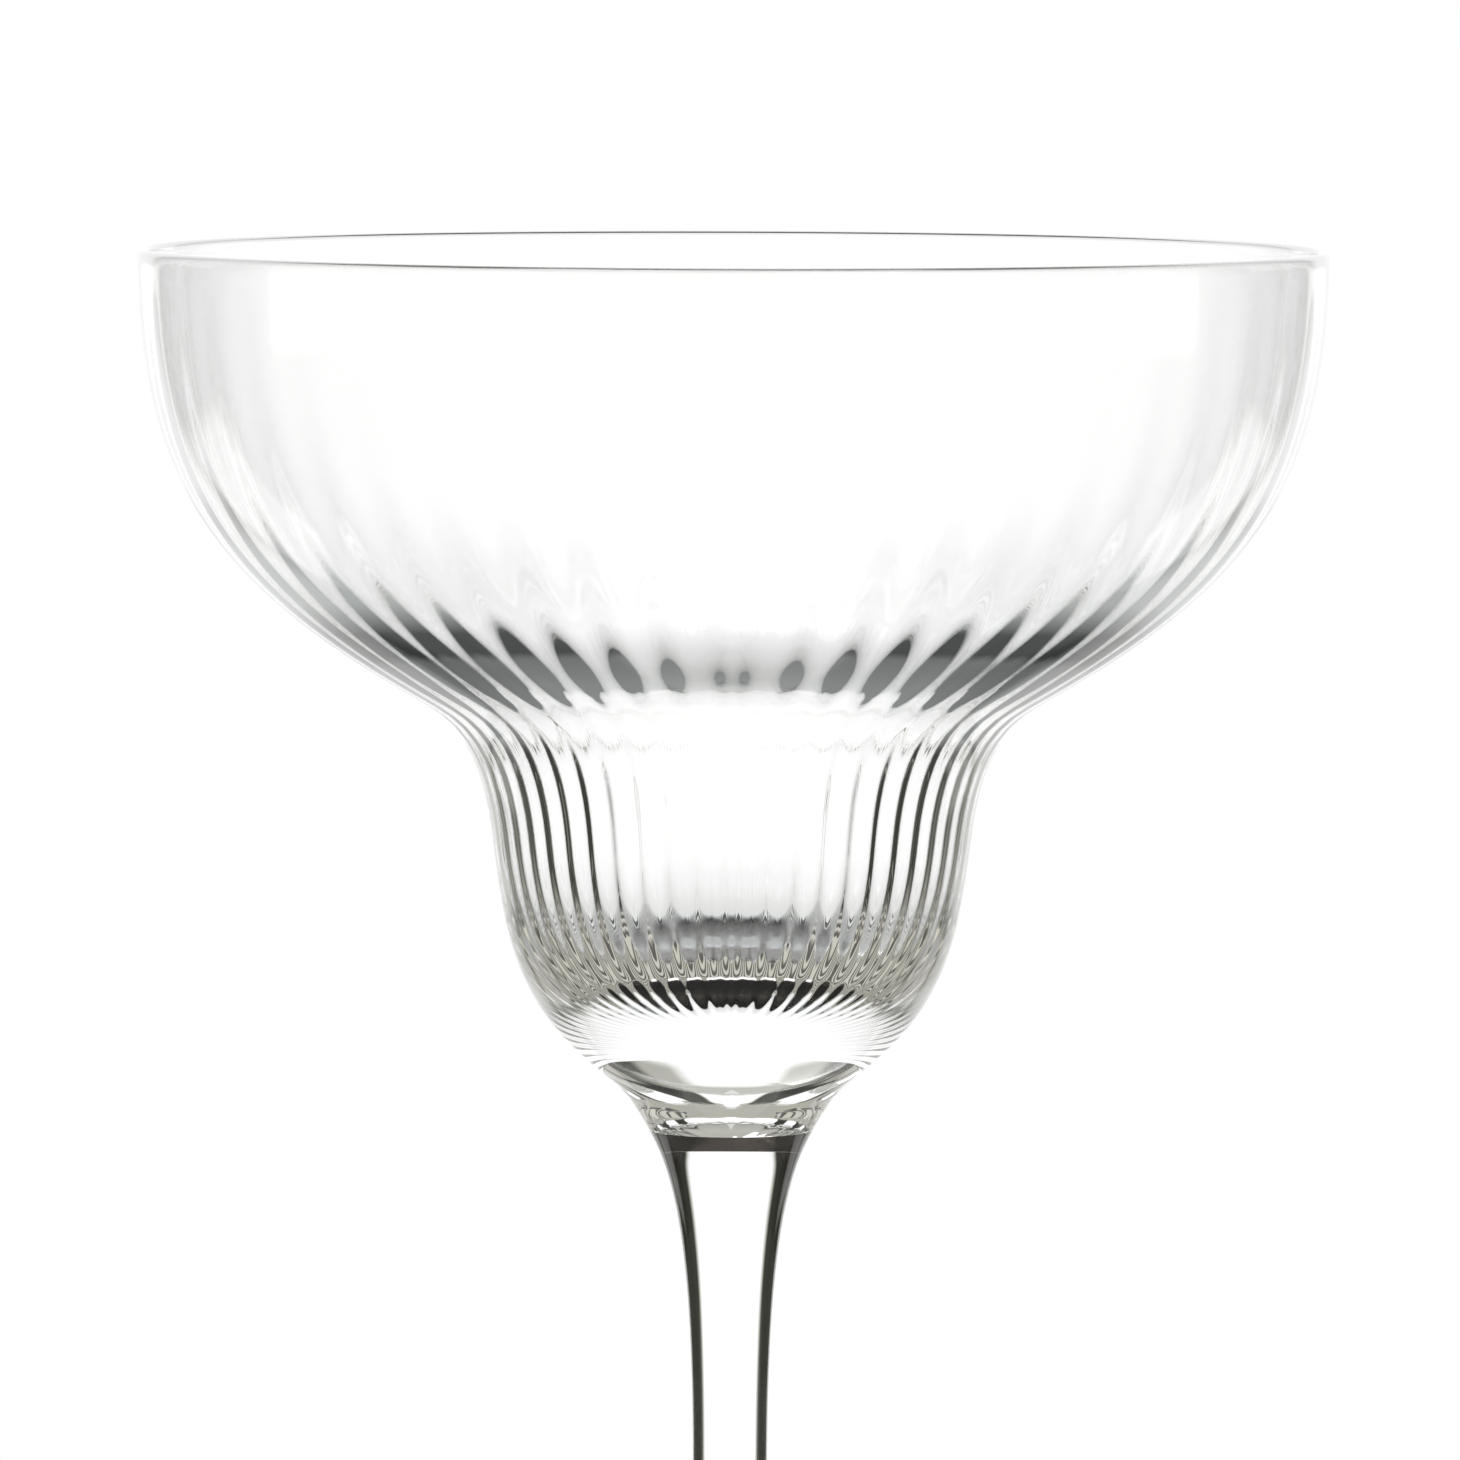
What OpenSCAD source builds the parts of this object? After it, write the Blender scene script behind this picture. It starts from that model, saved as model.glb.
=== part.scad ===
// Margarita glass: a ribbed cup with a small well under it, on a solid stem and a round foot.
// The axis is Z, and the foot stands on the plane z = 0.
// Lengths are in millimetres and angles in degrees.

/* [Overall] */
// Height from the table to the rim
glass_h = 175; // [165:1:200]

/* [Cup] */
// Outer diameter at the rim
rim_d = 115; // [104:1:130]
// Wall at the rim
rim_wall = 1.4; // [1:0.1:1.8]
// Depth of the shoulder below the rim, at the middle of its slope
shoulder_depth = 43.6; // [38:0.2:46]
// Outer diameter at the middle of the shoulder
shoulder_d = 59.6; // [56:0.2:70]
// Slope of the shoulder from level
shoulder_slope = 29.7; // [26:0.1:38]
// Wall at the shoulder
shoulder_wall = 2.7; // [1.8:0.1:3.4]
// Slope of the inside at the shoulder from level
inner_slope = 27.8; // [24:0.1:34]
// Way that the inside's shoulder lies further up its slope than the outside's
inner_lift = 1.4; // [0:0.1:3]

/* [Well] */
// Depth of the well's straight side below the rim
well_depth = 56.2; // [53:0.1:60]
// Outer diameter of the well at that depth
well_d = 46.2; // [42:0.2:50]
// Slope of the well's side from level
well_slope = 83.3; // [78:0.1:88]
// Wall of the well
well_wall = 2.1; // [1.4:0.1:3.2]
// Depth of the well's floor below the rim
floor_depth = 72; // [69:0.2:75]

/* [Base] */
// Depth of the heel below the rim, where the well turns in towards the stem
heel_depth = 80; // [78.4:0.2:82]
// Outer diameter at the heel
heel_d = 22.8; // [20:0.2:26]
// Slope of the outside at the heel
heel_slope = 36.7; // [32:0.1:42]
// Depth of the seam between bowl and stem below the rim
seam_depth = 84.8; // [84:0.2:88]
// Diameter of the seam
seam_d = 15.7; // [13:0.1:18]
// Slope of the outside at the seam
seam_slope = 60; // [52:1:66]

/* [Ribs] */
// Number of ribs round the inside of the bowl
rib_count = 50; // [36:1:56]
// Height of a rib from groove to crest in the cup
cup_rib_h = 0.25; // [0.1:0.05:0.6]
// Height of a rib from groove to crest in the well
well_rib_h = 0.4; // [0.1:0.05:0.7]

/* [Stem] */
// Diameter of the stem at its thinnest
stem_d = 7.2; // [6:0.1:10]
// Depth of the thinnest place below the rim
waist_depth = 118; // [110:1:126]
// Diameter of the stem's lower end, where the foot takes over
stem_end_d = 12.4; // [11:0.2:16]
// Height of the stem's lower end above the table
stem_end_h = 9; // [7:0.5:14]
// Slope of the outside at the stem's lower end
stem_end_slope = 52; // [45:1:62]

/* [Foot] */
// Diameter of the foot
foot_d = 78; // [68:1:92]
// Thickness of the foot at its edge
foot_edge_h = 2.6; // [2:0.1:3.5]
// Slope of the foot's top at its edge
foot_slope = 4; // [1:1:8]
// Width of the flat ring that the glass stands on
foot_ring_w = 7; // [4:0.5:12]
// Depth of the hollow under the foot
foot_hollow = 0.8; // [0.4:0.1:1.4]

/* [Hidden] */

// Handles of each curve, as shares of the distance between its two ends
cup_shares = [0.445, 0.429];
throat_shares = [0.245, 0.557];
side_shares = [0.46, 0.4];
heel_shares = [0.35, 0.2];
inner_cup_shares = [0.6, 0.26];
inner_throat_shares = [0.36, 0.1];
floor_shares = [0.54, 0.57];
neck_shares = [0.16, 0.62];
taper_shares = [0.6, 0.09];
foot_shares = [0.16, 0.5];

// Steps along each curve of the smooth outside, and of the ribbed inside
outer_steps = 14;
cup_steps = 8;
throat_steps = 6;
floor_steps = 11;
lip_steps = 3;
round_steps = 6;

// Roundness of everything turned
$fn = 200;

// The cavity runs past the rim by this much
overrun = 3;

// The rim is rounded over this share of its wall on each side
lip_share = 0.42;
lip_r = rim_wall * lip_share;

// The foot's edge is rounded over this share of its thickness
foot_round_share = 0.45;
foot_round = foot_edge_h * foot_round_share;

// The ribs fade out towards the middle of the floor, inside this share of the well's radius
fade_share = 0.55;

// Each rib has a crest, a groove and two flanks: crest and groove as shares of half its height
rib_wave_shares = [1, 1, -1, -1];
rib_sides = len(rib_wave_shares);

// Headings of a curve that comes down the outside: inwards level, straight down, outwards level
inward = 180;
down = 270;
outward = 360;

// A turning point of the outline: radius, height above the table and heading
function turn_node(d, depth, heading) = [d / 2, glass_h - depth, heading];

rim_node = turn_node(rim_d, lip_r, down);
shoulder_node = turn_node(shoulder_d, shoulder_depth, inward + shoulder_slope);
well_node = turn_node(well_d, well_depth, inward + well_slope);
heel_node = turn_node(heel_d, heel_depth, inward + heel_slope);
seam_node = turn_node(seam_d, seam_depth, inward + seam_slope);
waist_node = turn_node(stem_d, waist_depth, down);
stem_end_node = [stem_end_d / 2, stem_end_h, outward - stem_end_slope];
foot_node = [foot_d / 2 - foot_round, foot_edge_h, outward - foot_slope];
floor_node = [0, glass_h - floor_depth, inward];

// The place of a node, and unit steps along its heading and square to it, towards the inside
function place(n) = [n[0], n[1]];
function along(h) = [cos(h), sin(h)];
function across(h) = [sin(h), -cos(h)];
function inner_node(n, wall) = concat(place(n) + wall * across(n[2]), n[2]);

// Points and headings of a cubic curve from node a to node b, without its first point
function curve(a, b, shares, steps) =
    let (
        reach = norm(place(b) - place(a)),
        p = [
            place(a),
            place(a) + along(a[2]) * reach * shares[0],
            place(b) - along(b[2]) * reach * shares[1],
            place(b)
        ]
    )
    [for (i = [1 : steps]) curve_point(p, i / steps)];

function curve_point(p, t) =
    let (
        u = 1 - t,
        at = u * u * u * p[0] + 3 * u * u * t * p[1] + 3 * u * t * t * p[2] + t * t * t * p[3],
        go = u * u * (p[1] - p[0]) + 2 * u * t * (p[2] - p[1]) + t * t * (p[3] - p[2])
    )
    [at[0], at[1], atan2(go[1], go[0])];

function places(nodes) = [for (n = nodes) place(n)];

// Outside of the bowl, from the rim to the seam
bowl_side = concat(
    [rim_node],
    curve(rim_node, shoulder_node, cup_shares, outer_steps),
    curve(shoulder_node, well_node, throat_shares, outer_steps),
    curve(well_node, heel_node, side_shares, outer_steps),
    curve(heel_node, seam_node, heel_shares, outer_steps)
);

// Outer half of the rounded rim, from its crown outwards
lip_crown = [
    for (i = [0 : round_steps - 1])
        let (a = 90 * (1 - i / round_steps))
        [rim_d / 2 - lip_r + lip_r * cos(a), glass_h - lip_r + lip_r * sin(a)]
];

// Inside of the bowl, from the rim to the middle of the floor
inner_rim = [rim_d / 2 - rim_wall, glass_h - lip_r, down];
inner_shoulder = concat(
    place(inner_node(shoulder_node, shoulder_wall)) - inner_lift * along(shoulder_node[2]),
    inward + inner_slope
);
inner_well = inner_node(well_node, well_wall);
cavity_side = concat(
    [inner_rim],
    curve(inner_rim, inner_shoulder, inner_cup_shares, cup_steps),
    curve(inner_shoulder, inner_well, inner_throat_shares, throat_steps),
    curve(inner_well, floor_node, floor_shares, floor_steps)
);

// Inner half of the rounded rim, from above the crown down
cavity_lip = concat(
    [[inner_rim[0] + lip_r, glass_h + overrun, down]],
    [
        for (i = [0 : lip_steps - 1])
            let (a = 90 * (1 - i / lip_steps))
            [inner_rim[0] + lip_r - lip_r * cos(a), glass_h - lip_r + lip_r * sin(a), down]
    ]
);

// All rings of the cavity but its last point, and half the rib's height at each
cavity_rings = concat(cavity_lip, [for (i = [0 : len(cavity_side) - 2]) cavity_side[i]]);
lip_rings = len(cavity_lip);
ring_count = len(cavity_rings);

function rib_half(i) =
    i <= lip_rings ? 0 :
    let (
        n = cavity_rings[i],
        sunk = (glass_h - n[1]) / well_depth,
        full = (sunk < 1 ? cup_rib_h + (well_rib_h - cup_rib_h) * sunk : well_rib_h) / 2,
        fade = min(1, n[0] / (inner_well[0] * fade_share))
    )
    full * fade * fade;

// One point of the ribbed cavity: ring i, column j, with a crest over the X axis
columns = rib_count * rib_sides;
function cavity_point(i, j) =
    let (
        n = cavity_rings[i],
        q = place(n) + across(n[2]) * rib_half(i) * rib_wave_shares[j % rib_sides],
        a = 360 * (j - 1 / 2) / columns
    )
    [q[0] * cos(a), q[0] * sin(a), q[1]];

cavity_points = concat(
    [for (i = [0 : ring_count - 1]) for (j = [0 : columns - 1]) cavity_point(i, j)],
    [[0, 0, floor_node[1]]]
);

function around(i, j) = i * columns + j % columns;

cavity_faces = concat(
    [[for (j = [0 : columns - 1]) columns - 1 - j]],
    [
        for (i = [0 : ring_count - 2])
            for (j = [0 : columns - 1])
                [around(i, j), around(i, j + 1), around(i + 1, j + 1)]
    ],
    [
        for (i = [0 : ring_count - 2])
            for (j = [0 : columns - 1])
                [around(i, j), around(i + 1, j + 1), around(i + 1, j)]
    ],
    [
        for (j = [0 : columns - 1])
            [around(ring_count - 1, j), around(ring_count - 1, j + 1), ring_count * columns]
    ]
);

module cavity() {
    polyhedron(points = cavity_points, faces = cavity_faces, convexity = 6);
}

module bowl() {
    color([0.86, 0.90, 0.88, 0.45])
    difference() {
        rotate_extrude()
        polygon(concat([[0, seam_node[1]], [0, glass_h]], lip_crown, places(bowl_side)));
        cavity();
    }
}

module stem() {
    color([0.84, 0.88, 0.87, 0.6])
    rotate_extrude()
    polygon(concat(
        [[0, stem_end_node[1]], [0, seam_node[1]], place(seam_node)],
        places(curve(seam_node, waist_node, neck_shares, outer_steps)),
        places(curve(waist_node, stem_end_node, taper_shares, outer_steps))
    ));
}

// Rounded edge of the foot, from its top down to the table
foot_rim = [
    for (i = [1 : round_steps * 2])
        let (a = 90 - 90 * i / round_steps)
        [
            foot_node[0] + foot_round * cos(a),
            (a > 0 ? foot_edge_h - foot_round : foot_round) + foot_round * sin(a)
        ]
];

// Shallow round hollow under the foot, as part of a large ball
hollow_r = foot_node[0] - foot_ring_w;
hollow_ball_r = (hollow_r * hollow_r + foot_hollow * foot_hollow) / (2 * foot_hollow);
hollow_arc = [
    for (i = [0 : outer_steps])
        let (r = hollow_r * (1 - i / outer_steps))
        [r, foot_hollow - hollow_ball_r + sqrt(hollow_ball_r * hollow_ball_r - r * r)]
];

module foot() {
    color([0.82, 0.87, 0.86, 0.5])
    rotate_extrude()
    polygon(concat(
        [[0, stem_end_node[1]], place(stem_end_node)],
        places(curve(stem_end_node, foot_node, foot_shares, outer_steps)),
        foot_rim,
        hollow_arc
    ));
}

bowl();
stem();
foot();
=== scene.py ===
# Margarita glass: a ribbed bowl with a small well under it, a drawn stem and a round foot.
# Lengths are in metres and angles in radians, unless a comment says otherwise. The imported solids
# give the overall sizes.
import math

import bpy
import numpy as np
from bpy.props import FloatProperty, FloatVectorProperty, IntProperty, PointerProperty
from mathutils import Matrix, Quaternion, Vector


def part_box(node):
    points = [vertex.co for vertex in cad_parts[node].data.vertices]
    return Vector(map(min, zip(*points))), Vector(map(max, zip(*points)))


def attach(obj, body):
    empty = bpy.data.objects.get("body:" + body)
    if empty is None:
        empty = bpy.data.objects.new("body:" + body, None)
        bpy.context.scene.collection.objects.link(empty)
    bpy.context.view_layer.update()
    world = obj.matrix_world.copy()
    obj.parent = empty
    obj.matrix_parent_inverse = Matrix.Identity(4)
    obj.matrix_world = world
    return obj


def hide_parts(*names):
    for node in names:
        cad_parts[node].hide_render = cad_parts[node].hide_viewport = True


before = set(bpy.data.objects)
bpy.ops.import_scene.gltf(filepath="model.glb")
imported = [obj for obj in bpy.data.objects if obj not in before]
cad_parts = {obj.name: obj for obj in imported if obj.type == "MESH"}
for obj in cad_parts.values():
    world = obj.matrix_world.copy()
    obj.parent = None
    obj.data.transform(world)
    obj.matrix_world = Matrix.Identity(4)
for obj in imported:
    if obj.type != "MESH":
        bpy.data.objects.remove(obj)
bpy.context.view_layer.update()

bl_info = {
    "name": "Margarita Glass",
    "version": (1, 0, 0),
    "blender": (4, 5, 0),
    "location": "3D View > Sidebar > Glass",
    "description": "Makes a ribbed margarita glass on a pale table",
    "category": "Add Mesh",
}

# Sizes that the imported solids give
BOWL_LOW, BOWL_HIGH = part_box("bowl")
STEM_LOW, STEM_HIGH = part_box("stem")
FOOT_LOW, FOOT_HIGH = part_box("foot")

# Headings of an outline that comes down the outside
LEVEL_INWARD = math.pi
STRAIGHT_DOWN = 1.5 * math.pi
LEVEL_OUTWARD = 2 * math.pi

# Handles of each stretch of outline, as shares of the distance between its two turning points
CUP_OUTSIDE = (0.445, 0.429)
THROAT_OUTSIDE = (0.245, 0.557)
SIDE_OUTSIDE = (0.46, 0.40)
HEEL_OUTSIDE = (0.35, 0.20)
CUP_INSIDE = (0.61, 0.27)
THROAT_INSIDE = (0.37, 0.30)
FLOOR_INSIDE = (0.57, 0.40)
NECK = (0.16, 0.62)
TAPER = (0.60, 0.09)
FOOT_TOP = (0.16, 0.50)

# Reach over which an outline's sudden changes of curvature melt away
OUTSIDE_EASING = 0.0006
INSIDE_EASING = 0.0010

# Points along the outlines and round the pieces
CURVE_STEPS = 160
EASING_POINTS = 1200
OUTSIDE_RINGS = 58
INSIDE_RINGS = 100
CROWN_STEPS = 8
COLUMNS_PER_RIB = 12
STEM_RINGS = 110
STEM_COLUMNS = 128
HOLLOW_RINGS = 40
LIP_RINGS = 13
FOOT_TOP_STRIDE = 6
FOOT_COLUMNS = 192
TABLE_SIDES = 128

# Depths where the ribs' heights are given, as shares of the shoulder's depth and of the well's
RIBS_TO_SHOULDER = (0.0, 0.1, 0.46, 0.78, 0.96)
RIBS_IN_WELL = (0.89, 1.07, 1.33)
# Share of the well's radius within which the ribs fade out on the floor
RIB_FADE = 0.45
# Slow swings round the bowl that make one rib differ from the next: how many, and their start
RIB_SWINGS = ((3, 0.7), (11, 2.1), (19, 0.0))

# Rounding of the foot's edge, as a share of its thickness
FOOT_ROUNDING = 0.45

# Gap between two fused faces, so that light meets them one after the other
FUSED_GAP = 0.00001

# Waves in the glass's skin: how many to a metre, their depth, and how each piece draws them out
SKIN_WAVES = 60.0
SKIN_DEPTH = 0.0004
BOWL_GRAIN = (1.0, 1.0, 0.6)
STEM_GRAIN = (1.0, 1.0, 0.12)
FOOT_GRAIN = (0.6, 0.6, 1.0)

# Share of each colour of light that gets through a fused joint. The one under the bowl is dark: a
# near-black sheet inside the clear glass, as painted shade.
NECK_PAINTED_SHADE = (0.06, 0.05, 0.042)
FOOT_CLEAR = (1.0, 1.0, 1.0)
HAZE_SHARE = 0.06
HAZE_COLOUR = (0.95, 0.93, 0.88)

# Light is followed through this many reflections. Where light turned more often, the glass glows
# instead with painted light and shade: a plain level set by where on the glass it ends, by height
# in the ring and the stem, and in the well by how far the surface faces away from the lens (-1 to
# 1).
# Each stop is the place and its painted level.
TURNS_FOLLOWED = 3
RING_PAINTED_LIGHT = [
    (0.128, 0.3), (0.131, 0.2), (0.133, 0.16), (0.1339, 0.05), (0.1366, 0.06), (0.1405, 0.45),
    (0.145, 0.5),
]
WELL_PAINTED_LIGHT = [(-0.4, 0.35), (-0.1, 0.2), (0.05, 0.04), (0.6, 0.04), (0.8, 0.45)]
STEM_PAINTED_LIGHT = [(0.0, 0.7), (0.012, 0.6), (0.04, 0.07), (0.1, 0.07)]
CUP_PAINTED_LIGHT = 0.74
# Painted levels on the underside of the well, from a groove of the ribs to a crest (-1 to 1)
FLOOR_PAINTED_LIGHT = (0.62, 0.12)
GROOVE_TO_CREST = (-0.8, 0.8)
# Where one kind of place turns into the next, by how far the surface faces up (-1 to 1)
FACING_DOWN = (-0.3, -0.42)
FACING_UP = (0.45, 0.65)
# The same by height
BELOW_THE_WELL = (0.1, 0.095)
ABOVE_THE_RING = (0.146, 0.153)

# Studio that the glass bends, in degrees above level and degrees off straight ahead. Each stop is
# the elevation and its level, for the white card ahead and for the room ahead and behind.
CARD = [
    (-90, 0.0), (-34, 0.0), (-31, 0.7), (-20, 0.8), (-10, 0.95), (-4, 1.0), (54, 1.0), (62, 0.65),
    (90, 0.6),
]
ROOM_AHEAD = [
    (-90, 0.9), (-72, 0.9), (-60, 0.3), (-49, 0.3), (-46, 0.0), (-30, 0.0), (-20, 0.03),
    (60, 0.03), (66, 0.45), (90, 0.5),
]
ROOM_BEHIND = [
    (-90, 0.9), (-76, 0.9), (-66, 0.22), (-38, 0.22), (-28, 0.2), (55, 0.2), (66, 0.5), (90, 0.5),
]
# Where the room ahead turns into the room behind, and the low room's colour into the upper one's
ROOM_TURN = (64, 78)
ROOM_RISE = (-34, -24)
# Brightness of the card, where its sides end, and how much its upper corners are dimmed
CARD_LEVEL = 1.18
CARD_EDGE = (29, 37)
CORNER_TURN = (12, 20)
CORNER_RISE = (37, 43)
CORNER_DIM = 0.6
# Windows in the room: off straight ahead from and to, elevation from and to, and level
WINDOWS = [
    (26, 180, -60, -34, 0.24),
    (38, 54, -36, -16, 0.95),
    (82, 98, -9, 3, 1.0),
    (127, 143, -23, -7, 1.0),
]
WINDOW_SOFTNESS = 4.0

# Table: specks to a metre, how much paler they are, the shares of its radius between which it
# turns white for the lens, and the reach of its fade into the room, as a share of its start
TABLE_GRAIN = 900.0
TABLE_SPECKS = 1.02
TABLE_FADE = (0.45, 0.97)
UNDER_FOOT_FADE = 1.1

# Soft lamp over the table: its power in watts, its side, its place and what it points at
LAMP_POWER = 4.0
LAMP_SIDE = 0.9
LAMP_PLACE = (-0.5, -0.7, 1.5)
LAMP_AIM = (0, 0, 0.05)

# In pixels of the square picture: its side, half the rim's width, the row of the rim's plane and
# the column of the glass's axis
PICTURE_SIDE = 1460
RIM_HALF_WIDTH = 598.5
RIM_ROW = 248.7
AXIS_COLUMN = 732.2
# The camera's sensor in millimetres, and the nearest and farthest things that it sees
SENSOR_WIDTH = 36.0
NEAR, FAR = 0.01, 100.0

BLACK = (0.0, 0.0, 0.0)
WHITE = (1.0, 1.0, 1.0)

# Colour sockets of Blender's Mix node
MIX_FIRST, MIX_SECOND, MIX_RESULT = 6, 7, 2


def widest(low, high):
    """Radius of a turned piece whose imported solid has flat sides, kept inside its box."""
    return min(high.x, -low.x, high.y, -low.y)


def length_prop(name, description, default, low, high):
    """A length of the glass, in metres."""
    return FloatProperty(
        name=name, description=description, default=default,
        min=low, max=high, unit="LENGTH", precision=5,
    )


def angle_prop(name, description, degrees):
    """An angle of the glass, given in degrees and kept in radians."""
    return FloatProperty(
        name=name, description=description, default=math.radians(degrees),
        min=-math.pi, max=math.pi, subtype="ANGLE", unit="ROTATION",
    )


def share_prop(name, description, default):
    """A plain share or level."""
    return FloatProperty(
        name=name, description=description, default=default,
        min=0.0, max=1.0, subtype="FACTOR",
    )


def colour_prop(name, description, default):
    """A colour, as linear light."""
    return FloatVectorProperty(
        name=name, description=description, default=default,
        size=3, min=0.0, max=1.0, subtype="COLOR",
    )


class CupSizes(bpy.types.PropertyGroup):
    """The cup, from the rim down to the shoulder."""

    rim_radius: length_prop(
        "Rim Radius", "Outer radius at the rim", widest(BOWL_LOW, BOWL_HIGH), 0.04, 0.08)
    rim_height: length_prop(
        "Rim Height", "Height of the rim above the table", BOWL_HIGH.z, 0.12, 0.22)
    rim_wall: length_prop(
        "Rim Wall", "Wall at the rim", 0.0011, 0.0006, 0.003)
    shoulder_depth: length_prop(
        "Shoulder Depth", "Depth of the shoulder below the rim", 0.0436, 0.03, 0.06)
    shoulder_radius: length_prop(
        "Shoulder Radius", "Outer radius at the middle of the shoulder", 0.0298, 0.02, 0.04)
    shoulder_slope: angle_prop(
        "Shoulder Slope", "Slope of the shoulder from level", 29.7)
    shoulder_wall: length_prop(
        "Shoulder Wall", "Wall at the shoulder", 0.0027, 0.001, 0.005)
    inner_slope: angle_prop(
        "Inner Slope", "Slope of the inside at the shoulder from level", 28.6)
    inner_lift: length_prop(
        "Inner Lift", "How far up its slope the inside's shoulder lies", 0.0002, 0.0, 0.006)


class WellSizes(bpy.types.PropertyGroup):
    """The small well under the cup, and the solid base under that."""

    well_depth: length_prop(
        "Well Depth", "Depth of the well's straight side below the rim", 0.0562, 0.04, 0.07)
    well_radius: length_prop(
        "Well Radius", "Outer radius of the well at that depth", 0.0231, 0.015, 0.03)
    well_slope: angle_prop(
        "Well Slope", "Slope of the well's side from level", 83.3)
    well_wall: length_prop(
        "Well Wall", "Wall of the well", 0.0021, 0.001, 0.004)
    floor_depth: length_prop(
        "Floor Depth", "Depth of the well's floor below the rim", 0.071, 0.06, 0.08)
    heel_depth: length_prop(
        "Heel Depth", "Depth where the base turns in towards the stem", 0.080, 0.07, 0.09)
    heel_radius: length_prop(
        "Heel Radius", "Outer radius of the base there", 0.0114, 0.008, 0.015)
    heel_slope: angle_prop(
        "Heel Slope", "Slope of the outside there", 36.7)
    seam_radius: length_prop(
        "Seam Radius", "Radius of the seam between bowl and stem", 0.00785, 0.005, 0.012)
    seam_slope: angle_prop(
        "Seam Slope", "Slope of the outside at the seam", 60.0)


class RibSizes(bpy.types.PropertyGroup):
    """The soft ribs that the optic mould leaves on the inside."""

    count: IntProperty(
        name="Ribs", description="Number of ribs round the inside", default=50, min=12, max=90)
    rim_height: length_prop(
        "Rib at the Rim", "Height of a rib just under the rim", 0.00004, 0.0, 0.001)
    cup_height: length_prop(
        "Rib in the Cup", "Height of a rib in the middle of the cup", 0.00010, 0.0, 0.001)
    ledge_height: length_prop(
        "Rib above the Shoulder", "Height of a rib just above the shoulder", 0.00012, 0.0, 0.001)
    shoulder_height: length_prop(
        "Rib at the Shoulder", "Height of a rib at the shoulder", 0.00008, 0.0, 0.001)
    throat_height: length_prop(
        "Rib in the Throat", "Height of a rib between shoulder and well", 0.00034, 0.0, 0.001)
    well_height: length_prop(
        "Rib in the Well", "Height of a rib in the well", 0.0003, 0.0, 0.0015)
    floor_height: length_prop(
        "Rib at the Floor", "Height of a rib where the floor begins", 0.00002, 0.0, 0.0015)
    unevenness: share_prop(
        "Unevenness", "How much one rib differs from the next", 0.12)


class StemSizes(bpy.types.PropertyGroup):
    """The solid stem."""

    waist_radius: length_prop(
        "Waist Radius", "Radius of the stem at its thinnest", 0.0036, 0.0025, 0.006)
    waist_depth: length_prop(
        "Waist Depth", "Depth of the thinnest place below the rim", 0.118, 0.1, 0.14)
    end_radius: length_prop(
        "End Radius", "Radius where the foot takes over", 0.0062, 0.004, 0.01)
    end_slope: angle_prop(
        "End Slope", "Slope of the outside there", 52.0)


class FootSizes(bpy.types.PropertyGroup):
    """The round foot."""

    radius: length_prop(
        "Foot Radius", "Radius of the foot", widest(FOOT_LOW, FOOT_HIGH), 0.03, 0.05)
    edge: length_prop(
        "Foot Edge", "Thickness of the foot at its edge", 0.0026, 0.0015, 0.004)
    slope: angle_prop(
        "Foot Slope", "Slope of the foot's top at its edge", 4.0)
    ring_width: length_prop(
        "Ring Width", "Width of the flat ring that the glass stands on", 0.007, 0.003, 0.012)
    hollow: length_prop(
        "Hollow", "Depth of the hollow under the foot", 0.0008, 0.0001, 0.002)


class GlassLook(bpy.types.PropertyGroup):
    """The clear soda glass, and the colours of the painted light that it glows with where light
    turned often.
    """

    bend: FloatProperty(
        name="Refraction", description="How much the glass bends light",
        default=1.5, min=1.3, max=1.8)
    tint: colour_prop(
        "Tint", "Colour that the deeper waves of its skin give to light", (0.985, 0.992, 0.986))
    waviness: share_prop(
        "Waviness", "Faint unevenness of fire-polished glass", 0.06)
    # Colours of the painted glow that stands in for light and shade where light turned often
    painted_deep_colour: colour_prop(
        "Deep Light", "Colour of light that turned often in the well and stem", (1.0, 0.98, 0.86))
    painted_ring_colour: colour_prop(
        "Ring Light", "Colour of light that turned often in the ring", (0.96, 1.0, 0.99))


class StudioLook(bpy.types.PropertyGroup):
    """The pale table and what stands round it."""

    table_colour: colour_prop(
        "Table", "Colour of the pale table top", (0.86, 0.86, 0.85))
    room_colour: colour_prop(
        "Room", "Colour of the dim parts of the room", (1.0, 0.99, 0.80))
    low_colour: colour_prop(
        "Low Room", "Colour of the dim parts below the table", (0.90, 0.97, 1.0))
    table_radius: length_prop(
        "Table Radius", "How far the table reaches from the glass", 0.26, 0.1, 2.0)
    under_foot: length_prop(
        "Under the Foot", "How far from the middle the glass shows the table", 0.042, 0.0, 1.0)
    lens_distance: length_prop(
        "Lens Distance", "Distance from the glass to the lens", 1.5, 0.5, 5.0)
    lens_rise: angle_prop(
        "Lens Rise", "How far the lens looks down on the rim", 1.8)
    lens_roll: angle_prop(
        "Lens Roll", "How far the picture leans", 0.18)


def along(heading):
    """A unit step along a heading, as radius and height."""
    return np.array([math.cos(heading), math.sin(heading)])


def across(heading):
    """A unit step square to a heading, towards the inside of the glass."""
    return np.array([math.sin(heading), -math.cos(heading)])


def bend(start, end, shares):
    """Points of a smooth curve between two turning points, each (radius, height, heading)."""
    first, last = np.array(start[:2]), np.array(end[:2])
    reach = np.linalg.norm(last - first)
    leave = first + along(start[2]) * reach * shares[0]
    arrive = last - along(end[2]) * reach * shares[1]
    t = np.linspace(0.0, 1.0, CURVE_STEPS + 1)[1:, None]
    u = 1.0 - t
    return u**3 * first + 3 * u * u * t * leave + 3 * u * t * t * arrive + t**3 * last


def run(nodes, shares):
    """One outline through several turning points."""
    pieces = [np.array([nodes[0][:2]])]
    pieces += [bend(a, b, s) for a, b, s in zip(nodes, nodes[1:], shares)]
    return np.vstack(pieces)


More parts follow.
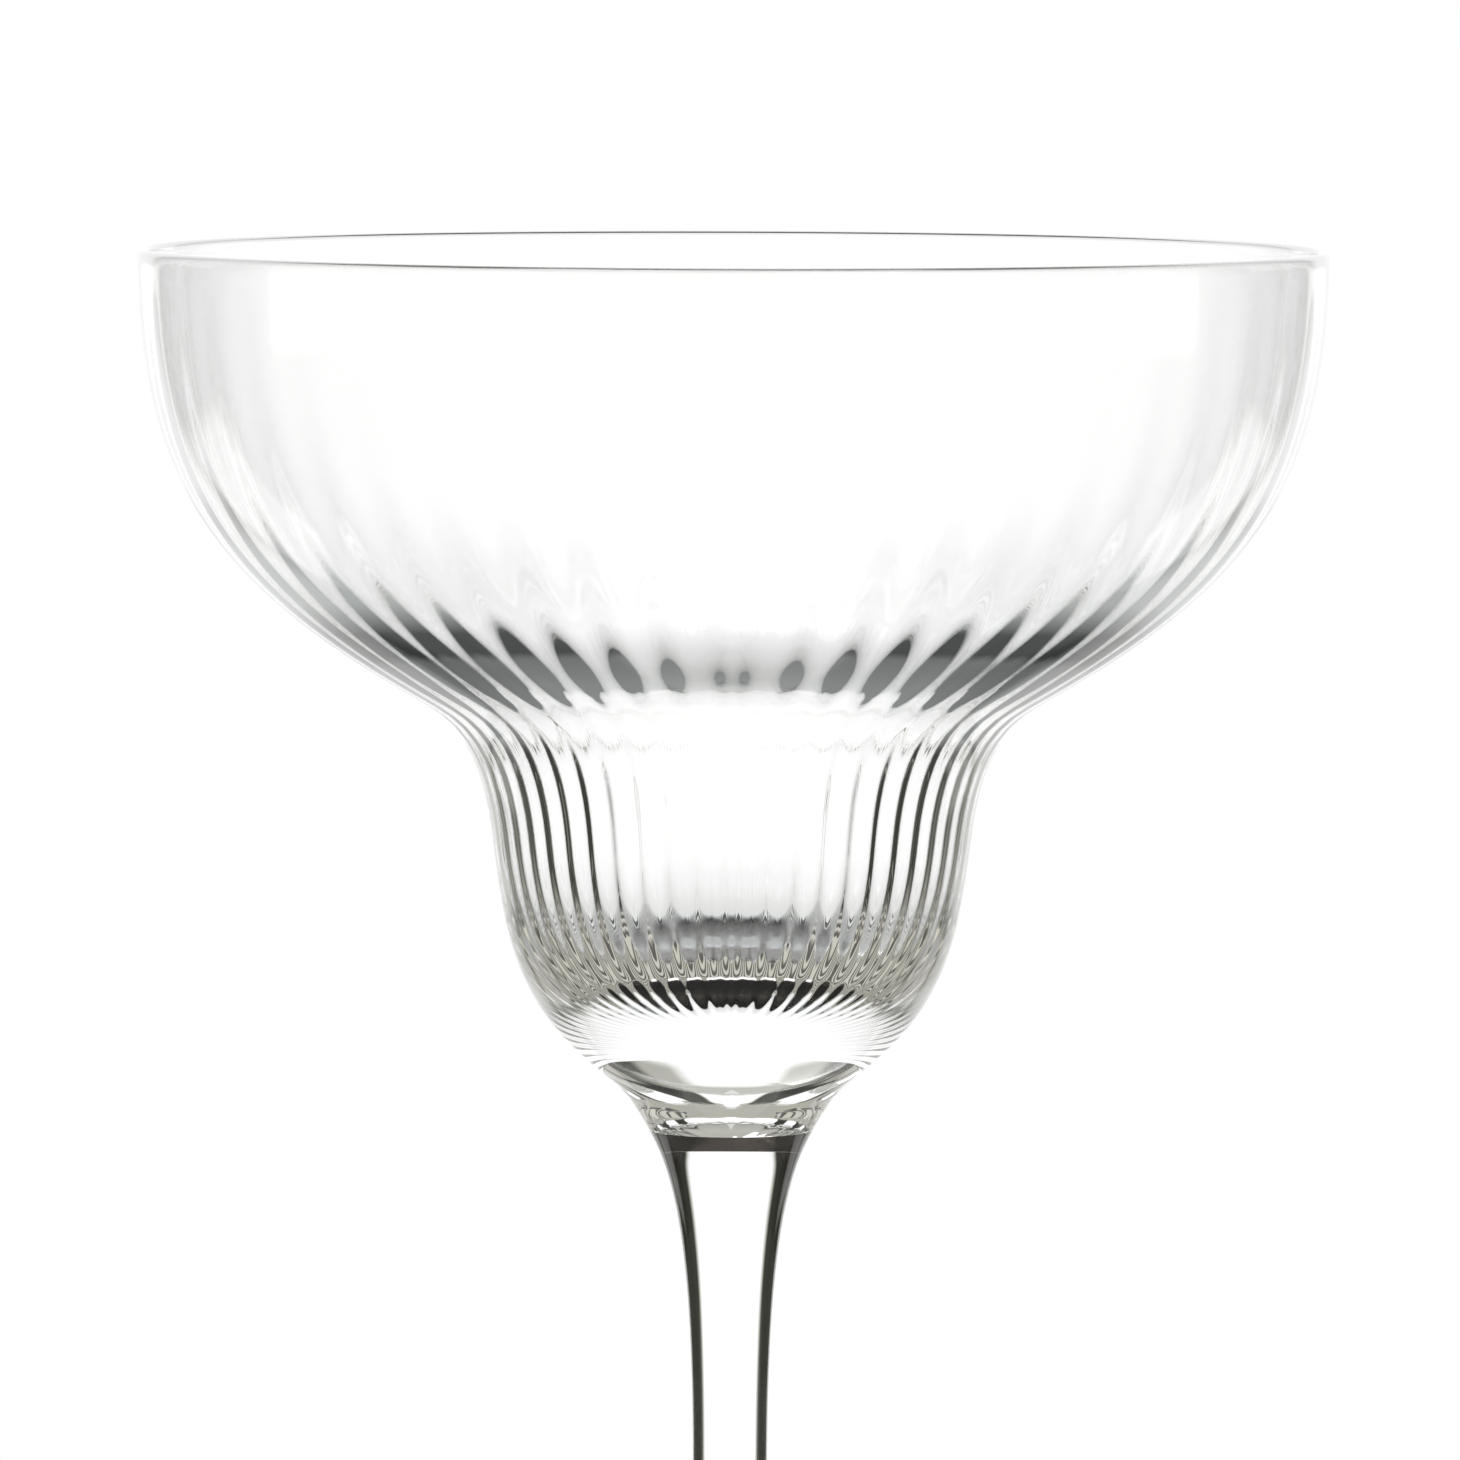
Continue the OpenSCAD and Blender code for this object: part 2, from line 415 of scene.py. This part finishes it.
def spaced(points, count):
    """The same outline with its points evenly spaced."""
    travel = np.concatenate([[0.0], np.cumsum(np.linalg.norm(np.diff(points, axis=0), axis=1))])
    at = np.linspace(0.0, travel[-1], count)
    return np.stack([np.interp(at, travel, points[:, k]) for k in (0, 1)], 1)


def eased(points, reach):
    """The outline with sudden changes of curvature melted away over a short reach."""
    points = spaced(points, EASING_POINTS)
    gap = np.linalg.norm(points[1] - points[0])
    half = int(3 * reach / gap)
    weights = np.exp(-0.5 * (np.arange(-half, half + 1) * gap / reach) ** 2)
    weights /= weights.sum()
    before = 2 * points[0] - points[half:0:-1]
    after = 2 * points[-1] - points[-2:-half - 2:-1]
    longer = np.concatenate([before, points, after])
    return np.stack([np.convolve(longer[:, k], weights, "valid") for k in (0, 1)], 1)


def bowl_nodes(cup, well):
    """Turning points of the bowl's outside, from the rim to the seam."""
    top = cup.rim_height
    return [
        (cup.rim_radius, top - cup.rim_wall / 2, STRAIGHT_DOWN),
        (cup.shoulder_radius, top - cup.shoulder_depth, LEVEL_INWARD + cup.shoulder_slope),
        (well.well_radius, top - well.well_depth, LEVEL_INWARD + well.well_slope),
        (well.heel_radius, top - well.heel_depth, LEVEL_INWARD + well.heel_slope),
        (well.seam_radius, BOWL_LOW.z, LEVEL_INWARD + well.seam_slope),
    ]


def bowl_outside(cup, well):
    """Outline of the bowl's outside, from the rim down to the seam."""
    shares = (CUP_OUTSIDE, THROAT_OUTSIDE, SIDE_OUTSIDE, HEEL_OUTSIDE)
    return eased(run(bowl_nodes(cup, well), shares), OUTSIDE_EASING)


def bowl_inside(cup, well):
    """Outline of the bowl's inside, from the rim down to the middle of the floor."""
    rim, shoulder, side = bowl_nodes(cup, well)[:3]
    inner_shoulder = (
        np.array(shoulder[:2])
        + cup.shoulder_wall * across(shoulder[2])
        - cup.inner_lift * along(shoulder[2])
    )
    inner_side = np.array(side[:2]) + well.well_wall * across(side[2])
    nodes = [
        (cup.rim_radius - cup.rim_wall, rim[1], STRAIGHT_DOWN),
        (*inner_shoulder, LEVEL_INWARD + cup.inner_slope),
        (*inner_side, side[2]),
        (0.0, cup.rim_height - well.floor_depth, LEVEL_INWARD),
    ]
    return eased(run(nodes, (CUP_INSIDE, THROAT_INSIDE, FLOOR_INSIDE)), INSIDE_EASING)


def rim_crown(cup):
    """Points of the rounded rim, from its outside over to its inside."""
    half = cup.rim_wall / 2
    turn = np.linspace(0.0, math.pi, CROWN_STEPS + 1)[1:-1]
    return np.stack([
        cup.rim_radius - half + half * np.cos(turn),
        cup.rim_height - half + half * np.sin(turn),
    ], 1)


def stem_outside(cup, well, stem):
    """Outline of the stem, from the seam down to the foot."""
    nodes = [
        (well.seam_radius, STEM_HIGH.z - FUSED_GAP, LEVEL_INWARD + well.seam_slope),
        (stem.waist_radius, cup.rim_height - stem.waist_depth, STRAIGHT_DOWN),
        (stem.end_radius, STEM_LOW.z + FUSED_GAP, LEVEL_OUTWARD - stem.end_slope),
    ]
    return eased(run(nodes, (NECK, TAPER)), OUTSIDE_EASING)


def foot_outside(stem, foot):
    """Outline of the foot, from the middle of its hollow round to the stem."""
    rounding = foot.edge * FOOT_ROUNDING
    edge = foot.radius - rounding
    ring = edge - foot.ring_width
    ball = (ring * ring + foot.hollow * foot.hollow) / (2 * foot.hollow)
    r = np.linspace(0.0, ring, HOLLOW_RINGS)
    hollow = np.stack([r, foot.hollow - ball + np.sqrt(ball * ball - r * r)], 1)
    turn = np.linspace(-math.pi / 2, math.pi / 2, LIP_RINGS)
    lift = np.where(turn > 0, foot.edge - rounding, rounding)
    lip = np.stack([edge + rounding * np.cos(turn), lift + rounding * np.sin(turn)], 1)
    top = bend(
        (stem.end_radius, FOOT_HIGH.z, LEVEL_OUTWARD - stem.end_slope),
        (edge, foot.edge, LEVEL_OUTWARD - foot.slope),
        FOOT_TOP,
    )
    return np.vstack([hollow, lip, top[-2::-FOOT_TOP_STRIDE], [[stem.end_radius, FOOT_HIGH.z]]])


def rib_half(ribs, cup, well, inside):
    """Half the height of a rib at each point of the inside. It fades out on the floor."""
    radius, depth = inside[:, 0], cup.rim_height - inside[:, 1]
    places = [share * cup.shoulder_depth for share in RIBS_TO_SHOULDER]
    places += [share * well.well_depth for share in RIBS_IN_WELL]
    heights = np.interp(depth, places, [
        0.0, ribs.rim_height, ribs.cup_height, ribs.ledge_height, ribs.shoulder_height,
        ribs.throat_height, ribs.well_height, ribs.floor_height,
    ])
    fade = np.clip(radius / (RIB_FADE * well.well_radius), 0.0, 1.0)
    return heights / 2 * fade**2


def rib_wave(ribs, columns):
    """The ribs once round the bowl: 1 on a crest and -1 in a groove, and a little uneven."""
    angle = 2 * math.pi * np.arange(columns) / columns
    swing = sum(np.sin(number * angle + start) for number, start in RIB_SWINGS)
    return np.cos(ribs.count * angle) * (1 + ribs.unevenness * swing / len(RIB_SWINGS))


def rings_from(line, columns, swell=0.0):
    """Turns an outline round the axis. swell moves each point off the outline, ring by column."""
    angle = 2 * math.pi * np.arange(columns) / columns
    step = np.gradient(line, axis=0)
    step /= np.linalg.norm(step, axis=1)[:, None]
    move = np.zeros((len(line), columns)) + swell
    radius = np.maximum(line[:, :1] + step[:, 1:] * move, 0.0)
    height = line[:, 1:] - step[:, :1] * move
    return np.stack([radius * np.cos(angle), radius * np.sin(angle), height], 2)


def shell_faces(count, columns):
    """Faces between the rings, then the fan at the start, then the fan at the end."""
    base = np.arange(count - 1)[:, None] * columns
    here = np.arange(columns)[None, :]
    beside = (here + 1) % columns
    quads = np.stack([
        base + here, base + beside, base + columns + beside, base + columns + here,
    ], 2).reshape(-1, 4)
    start, end = count * columns, count * columns + 1
    last = (count - 1) * columns
    faces = quads.tolist()
    faces += [(start, (j + 1) % columns, j) for j in range(columns)]
    faces += [(last + j, last + (j + 1) % columns, end) for j in range(columns)]
    return faces


def turned_mesh(name, rings, heights, fused):
    """One closed mesh from rings of points, shut at both ends by a fan round the axis.

    heights and fused say how high each end's middle is and whether it's fused to another piece.
    """
    count, columns = rings.shape[:2]
    points = np.vstack([rings.reshape(-1, 3), [[0, 0, heights[0]], [0, 0, heights[1]]]])
    mesh = bpy.data.meshes.new(name)
    mesh.from_pydata(points.tolist(), [], shell_faces(count, columns))
    mesh.update()
    joint = np.zeros(len(mesh.polygons), np.int32)
    joint[-2 * columns:-columns] = fused[0]
    joint[-columns:] = fused[1]
    mesh.polygons.foreach_set("material_index", joint)
    mesh.polygons.foreach_set("use_smooth", np.ones(len(joint), bool))
    sharpen_joints(mesh, columns, (count - 1) * columns, fused)
    return mesh


def sharpen_joints(mesh, columns, last, fused):
    """Keeps the flat fused faces from bending the light at their edge."""
    ends = np.empty(len(mesh.edges) * 2, np.int32)
    mesh.edges.foreach_get("vertices", ends)
    ends = ends.reshape(-1, 2)
    first_ring = (ends < columns).all(1) & fused[0]
    last_ring = ((ends >= last) & (ends < last + columns)).all(1) & fused[1]
    sharp = mesh.attributes.new("sharp_edge", "BOOLEAN", "EDGE")
    sharp.data.foreach_set("value", first_ring | last_ring)


def glass_piece(name, node, mesh, materials):
    """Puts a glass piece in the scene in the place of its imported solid."""
    for material in materials:
        mesh.materials.append(material)
    piece = bpy.data.objects.new(name, mesh)
    bpy.context.scene.collection.objects.link(piece)
    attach(piece, "root")
    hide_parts(node)


class NodeWriter:
    """Short ways to add nodes to a material or the world. Every value is a number, a colour or
    another node's output."""

    def __init__(self, owner):
        owner.use_nodes = True
        self.nodes, self.links = owner.node_tree.nodes, owner.node_tree.links
        self.nodes.clear()

    def put(self, value, slot):
        """Sets a socket, or joins it to another node's output."""
        if isinstance(value, bpy.types.NodeSocket):
            self.links.new(value, slot)
        elif slot.type == "RGBA":
            slot.default_value = (*value, 1.0)
        else:
            slot.default_value = value

    def add(self, kind, **values):
        """A node with some of its sockets set, by their names with _ for a space."""
        node = self.nodes.new(kind)
        for name, value in values.items():
            self.put(value, node.inputs[name.replace("_", " ")])
        return node

    def maths(self, operation, *values):
        """One step of arithmetic."""
        node = self.nodes.new("ShaderNodeMath")
        node.operation = operation
        for slot, value in zip(node.inputs, values):
            self.put(value, slot)
        return node.outputs["Value"]

    def between(self, value, low, high, start=0.0, end=1.0):
        """A soft step from start to end as the value goes from low to high."""
        node = self.add(
            "ShaderNodeMapRange",
            Value=value, From_Min=low, From_Max=high, To_Min=start, To_Max=end)
        node.interpolation_type = "SMOOTHSTEP"
        return node.outputs["Result"]

    def ramp(self, value, stops):
        """Level at each value, from stops of (value, level)."""
        low, high = stops[0][0], stops[-1][0]
        share = self.maths("DIVIDE", self.maths("SUBTRACT", value, low), high - low)
        node = self.add("ShaderNodeValToRGB", Fac=share)
        points = node.color_ramp.elements
        while len(points) < len(stops):
            points.new(0.5)
        for point, (place, level) in zip(points, stops):
            point.position = (place - low) / (high - low)
            point.color = (level, level, level, 1.0)
        return node.outputs["Color"]

    def mix(self, share, first, second):
        """One colour fading into another."""
        node = self.nodes.new("ShaderNodeMix")
        node.data_type = "RGBA"
        self.put(share, node.inputs["Factor"])
        self.put(first, node.inputs[MIX_FIRST])
        self.put(second, node.inputs[MIX_SECOND])
        return node.outputs[MIX_RESULT]

    def blend(self, share, first, second):
        """One surface fading into another."""
        node = self.nodes.new("ShaderNodeMixShader")
        for slot, value in zip(node.inputs, (share, first, second)):
            self.put(value, slot)
        return node.outputs["Shader"]

    def bent(self, path):
        """1 for light that the glass has bent or mirrored, and 0 for what the lens sees bare."""
        return self.maths(
            "MAXIMUM", path.outputs["Is Glossy Ray"], path.outputs["Is Transmission Ray"])

    def window(self, turn, rise, left, right, low, high, level):
        """A soft-edged window between two turns and two elevations."""
        soft = WINDOW_SOFTNESS
        wide = self.maths(
            "MULTIPLY", self.between(turn, left - soft, left),
            self.between(turn, right, right + soft, 1.0, 0.0))
        tall = self.maths(
            "MULTIPLY", self.between(rise, low - soft, low),
            self.between(rise, high, high + soft, 1.0, 0.0))
        return self.maths("MULTIPLY", self.maths("MULTIPLY", wide, tall), level)


def new_material(name):
    """An empty material, the writer of its nodes and its surface socket."""
    material = bpy.data.materials.new(name)
    write = NodeWriter(material)
    return material, write, write.add("ShaderNodeOutputMaterial").inputs["Surface"]


def glass_painted_light_material(name, scene, grain):
    """Clear glass, in which light that has turned often is replaced by a painted glow of light and
    shade at a plain level.
    """
    material, write, surface = new_material(name)
    place = write.add("ShaderNodeTexCoord")
    skin = glass_skin(write, place.outputs["Object"], scene.glass_look, grain)
    path = write.add("ShaderNodeLightPath")
    # Light that turned more often than this meets a glow of painted light and shade instead of the
    # glass
    often = write.maths("GREATER_THAN", path.outputs["Glossy Depth"], TURNS_FOLLOWED - 0.5)
    deep = write.add("ShaderNodeEmission", Color=painted_deep_light(write, place, scene))
    write.put(write.blend(often, skin, deep.outputs["Emission"]), surface)
    return material


def glass_skin(write, place, look, grain):
    """The glass itself, with a faint tint and the slight waves of a fire-polished skin."""
    drawn_out = write.add("ShaderNodeMapping", Vector=place, Scale=grain)
    waves = write.add(
        "ShaderNodeTexNoise", Vector=drawn_out.outputs["Vector"], Scale=SKIN_WAVES, Detail=1.0)
    ripple = write.add(
        "ShaderNodeBump", Height=waves.outputs["Fac"], Strength=look.waviness, Distance=SKIN_DEPTH)
    skin = write.add(
        "ShaderNodeBsdfPrincipled", IOR=look.bend, Transmission_Weight=1.0, Roughness=0.0,
        Normal=ripple.outputs["Normal"],
        Base_Color=write.mix(waves.outputs["Fac"], WHITE, tuple(look.tint)))
    return skin.outputs["BSDF"]


def painted_deep_light(write, place, scene):
    """Painted light and shade that stands in for light that turned often in the glass, by where on
    the glass it ends.
    """
    look = scene.glass_look
    spot = write.add("ShaderNodeSeparateXYZ", Vector=place.outputs["Object"]).outputs
    lean = write.add("ShaderNodeSeparateXYZ", Vector=place.outputs["Normal"]).outputs
    height, up, away = spot["Z"], lean["Z"], lean["Y"]
    turn = write.maths("ARCTAN2", spot["X"], spot["Y"])
    rib = write.maths("COSINE", write.maths("MULTIPLY", turn, float(scene.rib_sizes.count)))
    floor = write.between(rib, *GROOVE_TO_CREST, *FLOOR_PAINTED_LIGHT)
    well = write.mix(write.between(up, *FACING_DOWN), write.ramp(away, WELL_PAINTED_LIGHT), floor)
    low = write.between(height, *BELOW_THE_WELL)
    level = write.mix(low, well, write.ramp(height, STEM_PAINTED_LIGHT))
    dim = write.mix(level, BLACK, tuple(look.painted_deep_colour))
    ring = write.mix(write.ramp(height, RING_PAINTED_LIGHT), BLACK, tuple(look.painted_ring_colour))
    painted_below_cup = write.mix(write.between(up, *FACING_UP), dim, ring)
    cup = (CUP_PAINTED_LIGHT, CUP_PAINTED_LIGHT, CUP_PAINTED_LIGHT)
    return write.mix(write.between(height, *ABOVE_THE_RING), painted_below_cup, cup)


def joint_material(name, clear):
    """The face where two pieces are fused, which lets through the share of light given by clear,
    with a faint haze. Under the bowl that share is small, so the joint is a dark sheet of painted
    shade.
    """
    material, write, surface = new_material(name)
    through = write.add("ShaderNodeBsdfTransparent", Color=clear)
    haze = write.add("ShaderNodeBsdfTranslucent", Color=HAZE_COLOUR)
    write.put(write.blend(HAZE_SHARE, through.outputs["BSDF"], haze.outputs["BSDF"]), surface)
    return material


def table_material(look):
    """Pale table top that turns into the white background at its edge."""
    material, write, surface = new_material("pale_table")
    colour = tuple(look.table_colour)
    place = write.add("ShaderNodeTexCoord").outputs["Object"]
    reach = write.nodes.new("ShaderNodeVectorMath")
    reach.operation = "LENGTH"
    write.put(place, reach.inputs[0])
    reach = reach.outputs["Value"]
    grain = write.add("ShaderNodeTexNoise", Vector=place, Scale=TABLE_GRAIN)
    paler = tuple(min(1.0, TABLE_SPECKS * part) for part in colour)
    top = write.add("ShaderNodeBsdfDiffuse", Color=write.mix(grain.outputs["Fac"], colour, paler))
    white = write.add("ShaderNodeEmission")
    path = write.add("ShaderNodeLightPath")
    edge = write.between(reach, *(share * look.table_radius for share in TABLE_FADE))
    edge = write.maths("MULTIPLY", edge, path.outputs["Is Camera Ray"])
    bare = write.blend(edge, top.outputs["BSDF"], white.outputs["Emission"])
    # What the glass bends shows the pale top near the foot, and the room beyond it
    pale = write.add("ShaderNodeEmission", Color=colour)
    clear = write.add("ShaderNodeBsdfTransparent")
    beyond = write.between(reach, look.under_foot, look.under_foot * UNDER_FOOT_FADE)
    bent = write.blend(beyond, pale.outputs["Emission"], clear.outputs["BSDF"])
    write.put(write.blend(write.bent(path), bare, bent), surface)
    return material


class GLASS_OT_bowl(bpy.types.Operator):
    """Make the bowl: smooth outside, ribbed inside, rounded rim and solid base"""

    bl_idname = "glass.bowl"
    bl_label = "Make Bowl"

    def execute(self, context):
        scene = context.scene
        cup, well, ribs = scene.cup_sizes, scene.well_sizes, scene.rib_sizes
        columns = ribs.count * COLUMNS_PER_RIB
        outside = spaced(bowl_outside(cup, well), OUTSIDE_RINGS)[::-1]
        inside = spaced(bowl_inside(cup, well), INSIDE_RINGS)
        swell = rib_half(ribs, cup, well, inside)[:, None] * rib_wave(ribs, columns)[None, :]
        rings = np.concatenate([
            rings_from(outside, columns),
            rings_from(rim_crown(cup), columns),
            rings_from(inside[:-1], columns, swell[:-1]),
        ])
        mesh = turned_mesh("bowl_glass", rings, (BOWL_LOW.z, inside[-1, 1]), (True, False))
        glass_piece("bowl_finish", "bowl", mesh, [
            glass_painted_light_material("moulded_glass_painted_light", scene, BOWL_GRAIN),
            # The joint under the bowl is a dark sheet of painted shade
            joint_material("neck_joint_painted_shade", NECK_PAINTED_SHADE),
        ])
        return {"FINISHED"}


class GLASS_OT_stem(bpy.types.Operator):
    """Make the solid stem, drawn from the bowl's base down to the foot"""

    bl_idname = "glass.stem"
    bl_label = "Make Stem"

    def execute(self, context):
        scene = context.scene
        line = stem_outside(scene.cup_sizes, scene.well_sizes, scene.stem_sizes)
        line = spaced(line, STEM_RINGS)[::-1]
        rings = rings_from(line, STEM_COLUMNS)
        mesh = turned_mesh("stem_glass", rings, (line[0, 1], line[-1, 1]), (True, True))
        glass_piece("stem_finish", "stem", mesh, [
            glass_painted_light_material("drawn_glass_painted_light", scene, STEM_GRAIN),
            joint_material("stem_joint", FOOT_CLEAR),
        ])
        return {"FINISHED"}


class GLASS_OT_foot(bpy.types.Operator):
    """Make the round foot with its flat ring and shallow hollow"""

    bl_idname = "glass.foot"
    bl_label = "Make Foot"

    def execute(self, context):
        scene = context.scene
        line = foot_outside(scene.stem_sizes, scene.foot_sizes)
        rings = rings_from(line[1:], FOOT_COLUMNS)
        mesh = turned_mesh("foot_glass", rings, (line[0, 1], line[-1, 1]), (False, True))
        glass_piece("foot_finish", "foot", mesh, [
            glass_painted_light_material("pressed_glass_painted_light", scene, FOOT_GRAIN),
            joint_material("foot_joint", FOOT_CLEAR),
        ])
        return {"FINISHED"}


def lay_table(scene, look):
    """The pale round table that the glass stands on."""
    turn = np.linspace(0, 2 * math.pi, TABLE_SIDES + 1)[:-1]
    ring = look.table_radius * np.stack([np.cos(turn), np.sin(turn), 0 * turn], 1)
    mesh = bpy.data.meshes.new("table")
    mesh.from_pydata(ring.tolist(), [], [tuple(range(TABLE_SIDES))])
    mesh.materials.append(table_material(look))
    table = bpy.data.objects.new("table", mesh)
    scene.collection.objects.link(table)


def room_level(write, turn, rise):
    """Level of the room in each direction: the card ahead, the windows and the dim rest."""
    ahead, behind = write.ramp(rise, ROOM_AHEAD), write.ramp(rise, ROOM_BEHIND)
    room = write.mix(write.between(turn, *ROOM_TURN), ahead, behind)
    sides = write.between(turn, *CARD_EDGE, CARD_LEVEL, 0.0)
    card = write.maths("MULTIPLY", write.ramp(rise, CARD), sides)
    corner = write.maths(
        "MULTIPLY", write.between(turn, *CORNER_TURN),
        write.between(rise, *CORNER_RISE, 0.0, CORNER_DIM))
    card = write.maths("MULTIPLY", card, write.maths("SUBTRACT", 1.0, corner))
    room = write.maths("MAXIMUM", room, card)
    for window in WINDOWS:
        room = write.maths("MAXIMUM", room, write.window(turn, rise, *window))
    return room


def dress_studio(scene, look):
    """White all round for the lens, and a dim room with a card and windows for bent light."""
    scene.world = bpy.data.worlds.new("studio")
    write = NodeWriter(scene.world)
    place = write.add("ShaderNodeTexCoord")
    parts = write.add("ShaderNodeSeparateXYZ", Vector=place.outputs["Generated"]).outputs
    turn = write.maths("ABSOLUTE", write.maths("ARCTAN2", parts["X"], parts["Y"]))
    turn = write.maths("DEGREES", turn)
    rise = write.maths("DEGREES", write.maths("ARCSINE", parts["Z"]))
    darker = write.maths("SUBTRACT", room_level(write, turn, rise), 1.0)
    path = write.add("ShaderNodeLightPath")
    level = write.maths("ADD", write.maths("MULTIPLY", write.bent(path), darker), 1.0)
    colours = tuple(look.low_colour), tuple(look.room_colour)
    dim = write.mix(write.between(rise, *ROOM_RISE), *colours)
    light = write.add(
        "ShaderNodeBackground", Strength=level, Color=write.mix(level, dim, WHITE))
    write.add("ShaderNodeOutputWorld", Surface=light.outputs["Background"])


def hang_lamp(scene):
    """One soft lamp, which gives the glass its shadow on the table."""
    lamp = bpy.data.lights.new("soft_lamp", "AREA")
    lamp.energy, lamp.size = LAMP_POWER, LAMP_SIDE
    holder = bpy.data.objects.new("soft_lamp", lamp)
    holder.location = LAMP_PLACE
    holder.rotation_mode = "QUATERNION"
    aim = Vector(LAMP_AIM) - holder.location
    holder.rotation_quaternion = aim.to_track_quat("-Z", "Y")
    scene.collection.objects.link(holder)


def set_camera(scene, look, cup):
    """The camera at the photograph's viewing angle and framing."""
    pixel = cup.rim_radius / RIM_HALF_WIDTH
    lens = bpy.data.cameras.new("camera")
    camera = bpy.data.objects.new("camera", lens)
    scene.collection.objects.link(camera)
    rise = look.lens_distance * math.tan(look.lens_rise)
    camera.location = (0, -look.lens_distance, cup.rim_height + rise)
    middle = Vector((0, 0, cup.rim_height - (PICTURE_SIDE / 2 - RIM_ROW) * pixel))
    gaze = middle - camera.location
    roll = Quaternion((0, 0, 1), look.lens_roll)
    camera.rotation_mode = "QUATERNION"
    camera.rotation_quaternion = gaze.to_track_quat("-Z", "Y") @ roll
    lens.sensor_width = SENSOR_WIDTH
    lens.lens = SENSOR_WIDTH * gaze.length / (PICTURE_SIDE * pixel)
    lens.shift_x = (PICTURE_SIDE / 2 - AXIS_COLUMN) / PICTURE_SIDE
    lens.clip_start, lens.clip_end = NEAR, FAR
    scene.camera = camera
    scene.view_settings.view_transform = "Standard"


class GLASS_OT_studio(bpy.types.Operator):
    """Make the pale round table, the white studio, its soft lamp and the camera"""

    bl_idname = "glass.studio"
    bl_label = "Make Studio"

    def execute(self, context):
        scene = context.scene
        look = scene.studio_look
        lay_table(scene, look)
        dress_studio(scene, look)
        hang_lamp(scene)
        set_camera(scene, look, scene.cup_sizes)
        return {"FINISHED"}


class GLASS_PT_panel(bpy.types.Panel):
    """Sizes, looks and makers of the glass"""

    bl_label = "Margarita Glass"
    bl_idname = "GLASS_PT_panel"
    bl_space_type = "VIEW_3D"
    bl_region_type = "UI"
    bl_category = "Glass"

    def draw(self, context):
        for name, group in GROUPS.items():
            box = self.layout.box()
            for size in group.__annotations__:
                box.prop(getattr(context.scene, name), size)
        for maker in MAKERS:
            self.layout.operator(maker.bl_idname)


GROUPS = {
    "cup_sizes": CupSizes,
    "well_sizes": WellSizes,
    "rib_sizes": RibSizes,
    "stem_sizes": StemSizes,
    "foot_sizes": FootSizes,
    "glass_look": GlassLook,
    "studio_look": StudioLook,
}
MAKERS = (GLASS_OT_bowl, GLASS_OT_stem, GLASS_OT_foot, GLASS_OT_studio)


def register():
    for name, group in GROUPS.items():
        bpy.utils.register_class(group)
        setattr(bpy.types.Scene, name, PointerProperty(type=group))
    for maker in (*MAKERS, GLASS_PT_panel):
        bpy.utils.register_class(maker)


def unregister():
    for maker in (GLASS_PT_panel, *reversed(MAKERS)):
        bpy.utils.unregister_class(maker)
    for name, group in reversed(GROUPS.items()):
        delattr(bpy.types.Scene, name)
        bpy.utils.unregister_class(group)


def main():
    register()
    bpy.ops.glass.bowl()
    bpy.ops.glass.stem()
    bpy.ops.glass.foot()
    bpy.ops.glass.studio()


if __name__ == "__main__":
    main()
